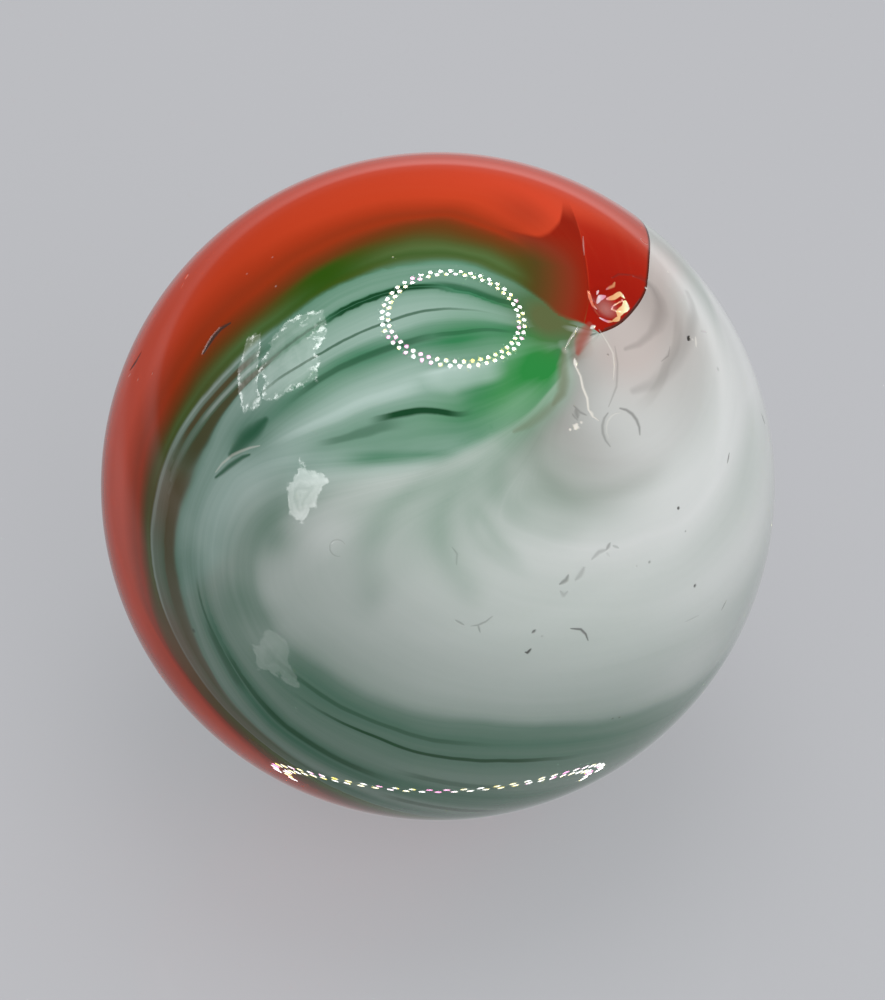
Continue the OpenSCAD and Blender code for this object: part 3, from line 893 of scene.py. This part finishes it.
def clouded(clouds, turn, reach):
    """What soft clouds add up to at places."""
    sum_of = np.zeros(len(turn))
    for at_turn, at_reach, wide, long, amount in clouds:
        sideways = within_half(turn - at_turn) * np.sin(np.radians(reach)) / wide
        sum_of += amount * np.exp(-sideways ** 2 - ((reach - at_reach) / long) ** 2)
    return sum_of


# Soft streaks of more or less milk that cross the flow: the strength, the width in degrees,
# and the reach of each at a turn.
STROKES = [
    (-0.13, 3.2, [(223, 40), (225.2, 44.6), (228, 51.2), (231, 55), (236.5, 58.4), (242, 60)]),
    (-0.14, 2.4, [
        (230.5, 32), (232.7, 36.4), (235.4, 41.8), (239.8, 44.8), (245.7, 47.2), (251.4, 48.6),
        (258, 50),
    ]),
    (-0.13, 1.1, [(238, 34), (239.7, 36.5), (246.4, 38.2), (253.3, 40.1), (262, 41)]),
    (-0.08, 1.1, [(234, 33), (235.7, 34.8), (241.6, 39), (249.5, 41.5), (258, 42.3), (266, 42.5)]),
    (-0.12, 2.4, [
        (231, 24), (233.4, 27), (239.3, 31), (248.4, 34.2), (258.7, 35.5), (268.9, 34.3), (278, 33),
    ]),
    (-0.13, 1.8, [
        (238, 21.5), (245.1, 24.2), (255.2, 27.3), (265.3, 28.2), (276.9, 27.2), (289.9, 25.6),
        (304, 24.5), (318, 24),
    ]),
    (0.12, 3.0, [
        (208, 59), (211.3, 56.2), (217.4, 50), (221, 44), (225, 37), (229, 31), (231, 29),
    ]),
    (-0.2, 1.0, [(210.2, 49.8), (213.9, 45.8), (219.1, 40.4), (222.4, 37.3), (230, 32)]),
]
# How much of its length a streak takes to fade in, and again to fade out
STROKE_END = 0.3
# Keeps a streak's slope finite at the mark itself
AT_MARK = 0.01


def stroked(strokes, turn, reach):
    """What soft streaks add up to at places."""
    sum_of = np.zeros(len(turn))
    for amount, width, path in strokes:
        start, end = path[0][0], path[-1][0]
        lap = (turn - start + 90) % 360 - 90 + start
        slope = smooth_curve(lap + 0.5, path) - smooth_curve(lap - 0.5, path)
        slope /= np.sin(np.radians(reach) + AT_MARK)
        aside = (reach - smooth_curve(lap, path)) / np.hypot(1, slope) / width
        inside = np.clip(np.minimum(lap - start, end - lap) / (STROKE_END * (end - start)), 0, 1)
        sum_of += amount * np.exp(-aside ** 2) * inside * inside * (3 - 2 * inside)
    return sum_of


# The round edge of a fold of lighter red: the reach of it at a turn.
FOLD_EDGE = [
    (85, 42), (92, 33), (97, 26.5), (101, 23.5), (105, 22), (110, 20.7), (115.5, 20.2), (123, 21.8),
    (130, 26), (140, 40),
]
# The crease that runs down to the mark: how far right of the mark it is at a height above it.
CREASE = [(-2, -3.4), (2, -2.5), (5, -1.8), (8, -1.3), (12, -1.1), (20, -0.9), (30, -0.6)]
# The edge of the white that wells up under the green: the turn of it at a reach. For so many
# degrees before it the glass is clear, and it is white the rest of the way round.
WHITE_EDGE = [
    (0, 190), (4, 197), (7.5, 204), (8.7, 220), (11, 232), (14.4, 236), (18.6, 234.5), (22.4, 233),
    (26.5, 232), (35, 229), (60, 215),
]
CLEAR_BEFORE = 160
# The brown beside the crease: it starts so high above the mark, comes in over so many degrees,
# and is so wide.
BROWN_TOP = 20
BROWN_FADE = 8
BROWN_WIDE = 13

# How far right of the mark and above it each corner is
right_of = corner_reach * np.cos(np.radians(corner_turn))
above_of = corner_reach * np.sin(np.radians(corner_turn))
left_of_crease = smooth_curve(above_of, CREASE) - right_of
in_white = lobe_turn - smooth_curve(corner_reach, WHITE_EDGE)
in_white = (in_white + CLEAR_BEFORE) % 360 - CLEAR_BEFORE
in_white *= np.sin(np.radians(corner_reach))
brown_high = np.clip((BROWN_TOP - above_of) / BROWN_FADE, 0, 1)

layers = {
    "ribbon_flow": flow_label(ribbon_turn, corner_reach),
    "lobe_flow": flow_label(lobe_turn, corner_reach),
    "past_lap": near_edge,
    "past_fold": corner_reach - smooth_curve(ribbon_turn, FOLD_EDGE),
    "past_crease": left_of_crease,
    "in_white": in_white,
    "browned": brown_high * left_of_crease / BROWN_WIDE,
    "above": above_of,
    "reach": corner_reach,
    "turn": lobe_turn,
}
# The clouds in the lobe are placed by its own turn, and the rest by the ribbon's.
for kind, clouds in CLOUDS.items():
    at_turn = lobe_turn if kind in ("milk", "warm", "smoke") else ribbon_turn
    layers[kind] = clouded(clouds, at_turn, corner_reach)
layers["milk"] += stroked(STROKES, lobe_turn, corner_reach)
for name, values in layers.items():
    layer = mesh.attributes.new(name, "FLOAT", "CORNER")
    layer.data.foreach_set("value", values.astype(np.float32))

# Soda-lime glass, coloured through in the melt. Rolled hot, it keeps a fire-polished skin, as
# smooth as a window's, in which the room shows sharply.
glass, swirl = finish("swirled_soda_glass")
paint = {
    name: add(swirl, "Attribute", attribute_name=name, output="Fac") for name in (*TINTS, *layers)
}
spot = add(swirl, "TexCoord", output="Object")
spot_parts = [add(swirl, "SeparateXYZ", {0: spot}, output=axis) for axis in "XYZ"]

# Slow wander of the flow, so that no line runs as true as a drawn one: how long it is, and how
# many degrees of flow.
WANDER_SIZE = 1.6 * MM
WANDER = 1.6
drift = add(swirl, "TexNoise", {
    "Vector": spot, "Scale": 1 / WANDER_SIZE, "Detail": 2.0, "Roughness": 0.5,
})
wander = add(swirl, "Math", {0: drift, 1: WANDER, 2: -WANDER / 2}, operation="MULTIPLY_ADD")
side = add(swirl, "Math", {0: paint["past_lap"], 1: 0.0}, operation="GREATER_THAN")
true_flow = add(swirl, "Mix", {0: side, 2: paint["lobe_flow"], 3: paint["ribbon_flow"]})
flow = add(swirl, "Math", {0: true_flow, 1: wander}, operation="ADD")

# Streaks drawn out along the flow, narrow across it and long along it. They fade near the
# mark, where the flow bunches, and some of them are left in the thick white and out at the
# ball's side: what is measured, where they start to fade, where they end, and what is left.
streaked = {0: paint["reach"], 1: 8.0, 2: 26.0}
streaked = add(swirl, "MapRange", streaked, interpolation_type="SMOOTHSTEP")
for measure, start, end, left in ((flow, 52.0, 80.0, 0.35), (paint["reach"], 44.0, 62.0, 0.5)):
    calm = add(swirl, "MapRange", {0: measure, 1: start, 2: end, 3: 1.0, 4: left})
    streaked = add(swirl, "Math", {0: streaked, 1: calm}, operation="MULTIPLY")


def streaks(narrow, long, strength):
    """Streaks so many degrees of flow wide, so long and so strong, as noise about zero."""
    stretched = [add(swirl, "Math", {0: flow, 1: 1 / narrow}, operation="MULTIPLY")]
    for part in spot_parts:
        stretched.append(add(swirl, "Math", {0: part, 1: 1 / long}, operation="MULTIPLY"))
    vector = add(swirl, "CombineXYZ", {i: stretched[i] for i in range(3)})
    noise = add(swirl, "TexNoise", {
        "Vector": vector, "W": stretched[3], "Scale": 1.0, "Detail": 2.0, "Roughness": 0.6,
    }, noise_dimensions="4D")
    centred = {0: noise, 1: strength, 2: -strength / 2}
    centred = add(swirl, "Math", centred, operation="MULTIPLY_ADD")
    return add(swirl, "Math", {0: centred, 1: streaked}, operation="MULTIPLY")


# Broad streaks and fine ones
broad = streaks(5.0, 9 * MM, 0.22)
fine = streaks(1.3, 6 * MM, 0.16)

# Threads that were drawn thin: the turn and the reach of the middle of each, half its length
# in degrees, half its width in degrees of flow, and how strong it is.
THREADS = {
    "dark": [
        (172.7, 36.5, 13, 0.9, 1.0), (173.6, 36.5, 13, 0.9, 1.0), (183.1, 51, 9, 0.8, 0.6),
        (187.7, 58, 5, 0.9, 0.8), (168.5, 21, 9, 1.3, 0.5), (184.4, 40, 24, 0.35, 0.75),
        (191.3, 40, 16, 0.8, 0.6), (188.1, 22, 9, 0.5, 0.4), (211.6, 34, 9, 0.4, 1.0),
        (208.9, 44, 8, 0.5, 0.4), (191.8, 66, 13, 1.3, 0.6), (220.5, 86.8, 8, 1.2, 0.5),
        (265, 80.4, 28, 0.5, 1.0), (252, 78.8, 22, 0.5, 0.5), (246, 92.2, 18, 2.3, 0.78),
        (234, 90.5, 10, 2.6, 0.68), (227, 89.6, 8, 2.8, 0.5), (272, 87.2, 12, 1.4, 0.5),
        (275, 97.8, 14, 1.8, 0.7),
    ],
    "brown": [
        (188.7, 67, 13, 1.1, 0.9), (191.8, 66, 15, 1.3, 0.7), (207, 86, 18, 1.2, 0.75),
        (222.3, 95, 12, 1.2, 0.6),
    ],
    "pale": [
        (186.2, 66, 15, 0.8, 0.14), (188.3, 63, 9, 0.7, 0.16), (194.9, 80, 16, 0.9, 0.08),
        (206.4, 92, 14, 0.8, 0.08), (203, 44, 16, 1.2, 0.12), (206, 25, 8, 1.6, 0.25),
    ],
    "veil": [(360, 13.8, 14, 1.3, 0.12)],
}
# A thread fades across from this share of its half width to that one, and along from this
# share of its half length to its end.
CORE = 0.5
EDGE = 1.35
CORE_LONG = 0.45
# What a degree is on the skin, in metres
DEGREE = math.radians(1) * BALL_R


def threads(lines):
    """How strongly a place lies on any of these threads."""
    total = 0.0
    for at_turn, at_reach, long, wide, strength in lines:
        lap, tilt = math.radians(at_turn), math.radians(at_reach)
        outward = right * math.cos(lap) + above * math.sin(lap)
        centre = mark * math.cos(tilt) + outward * math.sin(tilt)
        label = flow_label(np.array([float(at_turn)]), np.array([float(at_reach)]))[0]
        off = add(swirl, "Math", {0: flow, 1: label}, operation="SUBTRACT")
        aside = add(swirl, "Math", {0: off}, operation="ABSOLUTE")
        far = add(swirl, "VectorMath", {0: spot, 1: centre * BALL_R}, operation="DISTANCE")
        ink = strength
        for gap, edge, core in (
            (aside, wide * EDGE, wide * CORE),
            (far, long * DEGREE, long * DEGREE * CORE_LONG),
        ):
            ink = {0: gap, 1: edge, 2: core, 4: ink}
            ink = add(swirl, "MapRange", ink, interpolation_type="SMOOTHSTEP")
        total = add(swirl, "Math", {0: total, 1: ink}, operation="MAXIMUM")
    return total


thread = {kind: threads(lines) for kind, lines in THREADS.items()}

# Where one glass gives way to the next: what is measured, where it starts, and where it is full.
SHARES = {
    "ribbon": ("flow", 6.6, 5.2),
    "tan_in_green": ("flow", 16.6, 15.4),
    "inner_edge": ("flow", 0.2, 2.4),
    "tan_in_red": ("flow", -3.0, 2.0),
    "thick": ("flow", 42.0, 60.0),
    "white": ("in_white", -2.0, 2.2),
    "deep_white": ("in_white", 0.0, 6.0),
    "near": ("reach", 35.0, 27.0),
    "at_side": ("reach", 44.0, 62.0),
    "round": ("turn", 206.0, 224.0),
    "by_lap": ("past_lap", 0.7, 0.1),
    "under_fold": ("past_fold", 0.9, -0.4),
    "left_of_crease": ("past_crease", -0.1, 0.3),
    "by_crease": ("past_crease", 16.0, 9.0),
    "low_on_crease": ("above", 32.0, 24.0),
    "by_mark": ("reach", 31.0, 23.0),
    "vein": ("vein", 0.0, 0.8),
    "seam": ("seam", 0.0, 1.0),
    "soot": ("soot", 0.0, 1.0),
    "frost": ("frost", 0.0, 1.0),
    "painted_glint": ("painted_glint", 0.15, 0.6),
    "ember": ("ember", 0.1, 1.0),
}
share = {}
for name, (measure, start, full) in SHARES.items():
    ends = {0: flow if measure == "flow" else paint[measure], 1: start, 2: full}
    share[name] = add(swirl, "MapRange", ends, interpolation_type="SMOOTHSTEP")
both = {
    name: add(swirl, "Math", {0: one, 1: other}, operation="MULTIPLY")
    for name, one, other in (
        ("tan_in_green", paint["tan"], share["tan_in_green"]),
        ("tan_in_red", paint["tan"], share["tan_in_red"]),
        ("moss", paint["moss"], share["inner_edge"]),
        ("warm", paint["warm"], share["white"]),
        ("smoke", paint["smoke"], share["deep_white"]),
        ("well", share["white"], share["near"]),
        ("browned", share["under_fold"], share["by_crease"]),
        ("crease", share["left_of_crease"], share["low_on_crease"]),
    )
}
# How much white is in the glass along the flow: near the mark, out at the ball's side, and
# from there on round it.
FLOW_LOW = -60
FLOW_SPAN = 200
MILK = {
    "near": [
        (4.9, 0.05), (6.3, 0.11), (8.5, 0.15), (12.7, 0.18), (13.6, 0.06), (16.8, 0.07),
        (17.6, 0.28), (21.2, 0.38), (24.3, 0.34), (26, 0.14), (27.5, 0.09), (29, 0.11), (31, 0.21),
        (33, 0.36), (35.5, 0.46), (37, 0.42), (39, 0.26), (40.5, 0.17), (43, 0.21), (45, 0.23),
        (48, 0.33), (52, 0.48), (56, 0.58), (70, 0.58), (82, 0.72), (91, 0.8), (97, 0.96),
        (102, 0.88), (106, 0.64), (112, 0.68), (118, 0.78), (128, 0.73),
    ],
    "side": [
        (4, 0.09), (5, 0.12), (6, 0.17), (7.4, 0.12), (8.6, 0.07), (10.2, 0.02), (11.4, 0.1),
        (12.2, 0.09), (13.2, 0.04), (15.4, 0.05), (16.3, 0.19), (17.5, 0.26), (24, 0.27), (27, 0.3),
        (30, 0.36), (34, 0.36), (46, 0.35), (54, 0.3), (57, 0.28), (62, 0.36), (79, 0.68),
    ],
    "far": [
        (4.5, 0.12), (6, 0.17), (7.5, 0.08), (14.5, 0.03), (16, 0.14), (18, 0.22), (22, 0.14),
        (24.5, 0.08), (26.5, 0.05), (36, 0.03), (37.5, 0.06), (39, 0.1), (41, 0.16), (44, 0.18),
        (47, 0.14), (49.5, 0.11), (52, 0.1), (54, 0.07), (55.5, 0.1), (57.8, 0.13), (58.8, 0.21),
        (60, 0.33), (62, 0.43), (67, 0.53), (73, 0.58), (79, 0.68), (84, 0.73), (97, 0.92),
        (106, 0.7), (128, 0.72),
    ],
}
along = add(swirl, "MapRange", {0: flow, 1: FLOW_LOW, 2: FLOW_LOW + FLOW_SPAN})


def by_label(parts):
    """The stops of a ramp along the flow, for what there is at each label."""
    return [((label - FLOW_LOW) / FLOW_SPAN, part) for label, part in parts]


milks = {
    name: add(swirl, "ValToRGB", {0: along}, stops=by_label(parts)) for name, parts in MILK.items()
}
milk = add(swirl, "Mix", {0: share["round"], 6: milks["side"], 7: milks["far"]}, data_type="RGBA")
milk = add(swirl, "Mix", {0: share["at_side"], 6: milks["near"], 7: milk}, data_type="RGBA")
# The white that wells up at the mark, by its reach
WELL = [
    (0, 0.66), (10, 0.68), (14, 0.66), (18, 0.67), (22, 0.74), (25, 0.86), (28, 0.96), (32, 1.0),
]
WELL_REACH = 40
outwards = add(swirl, "Math", {0: paint["reach"], 1: WELL_REACH}, operation="DIVIDE")
stops = [(reach / WELL_REACH, part) for reach, part in WELL]
well = add(swirl, "ValToRGB", {0: outwards}, stops=stops)
milk = add(swirl, "Mix", {0: both["well"], 6: milk, 7: well}, data_type="RGBA")
for operation, amount in (
    ("ADD", paint["milk"]),
    ("ADD", broad),
    ("ADD", fine),
    ("SUBTRACT", thread["veil"]),
    ("ADD", thread["pale"]),
):
    milk = add(swirl, "Math", {0: milk, 1: amount}, operation=operation)
for kind in ("dark", "brown"):
    left = add(swirl, "Math", {0: 1.0, 1: thread[kind]}, operation="SUBTRACT")
    milk = add(swirl, "Math", {0: milk, 1: left}, operation="MULTIPLY")

right_side = add(swirl, "Math", {0: 1.0, 1: share["left_of_crease"]}, operation="SUBTRACT")
blood = add(swirl, "Math", {0: right_side, 1: share["by_mark"]}, operation="MULTIPLY")
browned = add(swirl, "Math", {0: both["browned"], 1: both["crease"]}, operation="MULTIPLY")

# The red ribbon with its green and brown inner edge, and the darker reds at the crease
RIBBON = [
    (-60, "#CE4527"), (-40, "#E24E30"), (-27, "#E84E2E"), (-12, "#D44624"), (-8, "#BC3E1D"),
    (-5, "#A43A1A"), (-3, "#A63816"), (-1, "#863A17"), (0.8, "#704018"), (2.2, "#5E4E22"),
    (3, "#565E2E"), (4, "#52703E"), (4.9, "#46622F"), (5.6, "#4F6B3D"),
]
ribbon = add(swirl, "ValToRGB", {0: along}, stops=by_label(RIBBON))
brown_glass = add(swirl, "ValToRGB", {0: paint["browned"]}, stops=[
    (0.0, "#9A210C"), (0.12, "#932A14"), (0.25, "#8A351E"), (0.4, "#7C3B1E"),
    (0.54, "#6B411E"), (0.7, "#59451D"), (0.85, "#4D4A1B"), (1.0, "#48501D"),
])
BLOOD_FROM = 12.0
BLOOD_TO = 30.0
blood_glass = add(swirl, "MapRange", {0: paint["reach"], 1: BLOOD_FROM, 2: BLOOD_TO})
blood_glass = add(swirl, "ValToRGB", {0: blood_glass}, stops=[
    (0.0, "#A51B0C"), (0.45, "#B42411"), (1.0, "#CA3A20"),
])

# The clear glasses, the white, and what lies over what
body = "#3C7F5A"
for amount, tone in (
    (share["at_side"], "#396D54"),
    (paint["leaf"], "#2F8A42"),
    (both["smoke"], "#5E5C4C"),
    (both["warm"], "#756A62"),
    (both["tan_in_green"], "#5C5036"),
    (paint["rust"], "#606A42"),
    (thread["dark"], "#1C4A2C"),
    (thread["brown"], "#554A30"),
):
    body = add(swirl, "Mix", {0: amount, 6: body, 7: tone}, data_type="RGBA")
white = "#E8F8F4"
for amount, tone in (
    (share["thick"], "#E6E9E6"),
    (share["white"], "#E6E9E6"),
    (both["warm"], "#E4DAD4"),
):
    white = add(swirl, "Mix", {0: amount, 6: white, 7: tone}, data_type="RGBA")
red = ribbon
for amount, tone in (
    (both["moss"], "#325711"),
    (both["tan_in_red"], "#544E2A"),
    (paint["deep_red"], "#A8371F"),
    (browned, brown_glass),
    (blood, blood_glass),
    (broad, "#DE6A44"),
    (share["by_lap"], "#5A2418"),
):
    red = add(swirl, "Mix", {0: amount, 6: red, 7: tone}, data_type="RGBA")
for amount, tone in (
    (milk, white),
    (share["ribbon"], red),
    (share["ember"], "#A04A3C"),
    (share["vein"], "#1D5236"),
    (share["seam"], "#6F6F50"),
    (share["soot"], "#3C3A36"),
    (share["frost"], "#EFEBE0"),
):
    body = add(swirl, "Mix", {0: amount, 6: body, 7: tone}, data_type="RGBA")

# The painted highlight round the dimple's rim, the ring lamp's reflection, runs through colours
# from one side of it to the other.
PAINTED_GLINT_LOW = 3.25 * MM
PAINTED_GLINT_HIGH = 4.35 * MM
over_dimple = add(swirl, "MapRange", {0: spot_parts[0], 1: PAINTED_GLINT_LOW, 2: PAINTED_GLINT_HIGH})
painted_glint = add(swirl, "ValToRGB", {0: over_dimple}, stops=[
    (0.0, "#F4875E"), (0.22, "#F28A6A"), (0.34, "#F6E0E4"), (0.46, "#EE9AB4"),
    (0.6, "#F6B27A"), (0.78, "#F8C890"), (0.9, "#FBF8C4"), (1.0, "#F4EFD8"),
])
body = add(swirl, "Mix", {0: share["painted_glint"], 6: body, 7: painted_glint}, data_type="RGBA")

shader = add(swirl, "BsdfPrincipled", {"Base Color": body, "Roughness": 0.03, "IOR": 1.5})
add(swirl, "OutputMaterial", {"Surface": shader})
mesh.materials.append(glass)
